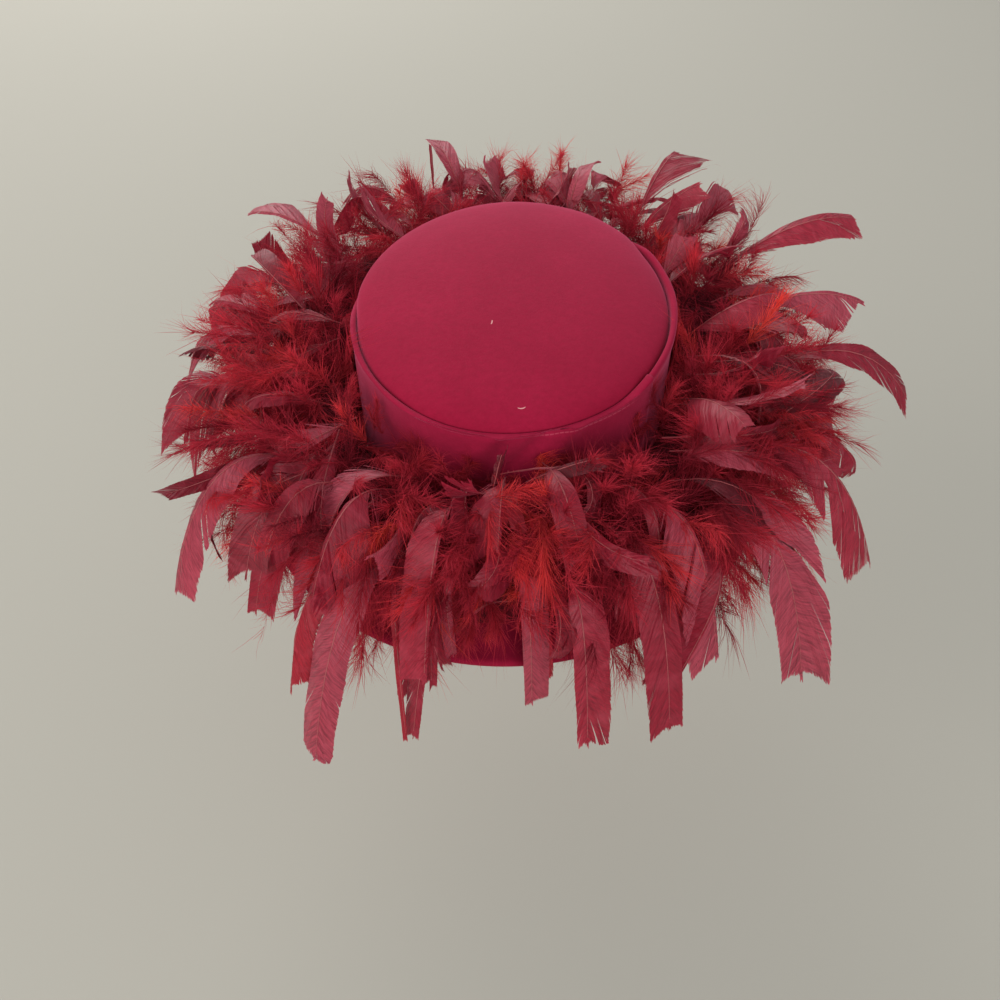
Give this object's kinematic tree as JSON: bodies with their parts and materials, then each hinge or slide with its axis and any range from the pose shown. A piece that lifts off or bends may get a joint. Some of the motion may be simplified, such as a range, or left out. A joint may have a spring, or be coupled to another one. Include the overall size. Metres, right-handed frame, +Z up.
{
  "type": "feather-trimmed pillbox hat",
  "caption": "Low oval pillbox crown in crimson felted cloth on a narrow brim that carries a thick ring of fluffy down and flat curling feathers.",
  "frame": {"origin": "middle of the head opening, at the lower edge of the crown band", "axes": "+Z up through the crown, the wearer faces -Y, +X to the right of someone facing the front"},
  "size_m": [0.4164, 0.3939, 0.1488],
  "materials": {
    "crown_cloth": "matte felted cloth, crimson, with a paler bloom at its edges",
    "band_cloth": "matte felted cloth with soft slanting pulls and a lapped end",
    "brim_cloth": "matte felted cloth over a rounded edge",
    "down": "deep red fluffy down with bright tips and dark gaps",
    "feather": "dusty crimson vane with a soft sheen and a pale quill"
  },
  "bodies": {
    "root": {"crown_tip": "crown_cloth", "crown_band": "band_cloth", "brim": "brim_cloth", "feather_down": "down", "feather_01": "feather", "feather_02": "feather", "feather_03": "feather", "feather_04": "feather", "feather_05": "feather", "feather_06": "feather", "feather_07": "feather", "feather_08": "feather", "feather_09": "feather", "feather_10": "feather", "feather_11": "feather", "feather_12": "feather", "feather_13": "feather", "feather_14": "feather", "feather_15": "feather", "feather_16": "feather", "feather_17": "feather", "feather_18": "feather", "feather_19": "feather", "feather_20": "feather", "feather_21": "feather", "feather_22": "feather", "feather_23": "feather", "feather_24": "feather", "feather_25": "feather", "feather_26": "feather", "feather_27": "feather", "feather_28": "feather"}
  },
  "joints": []
}
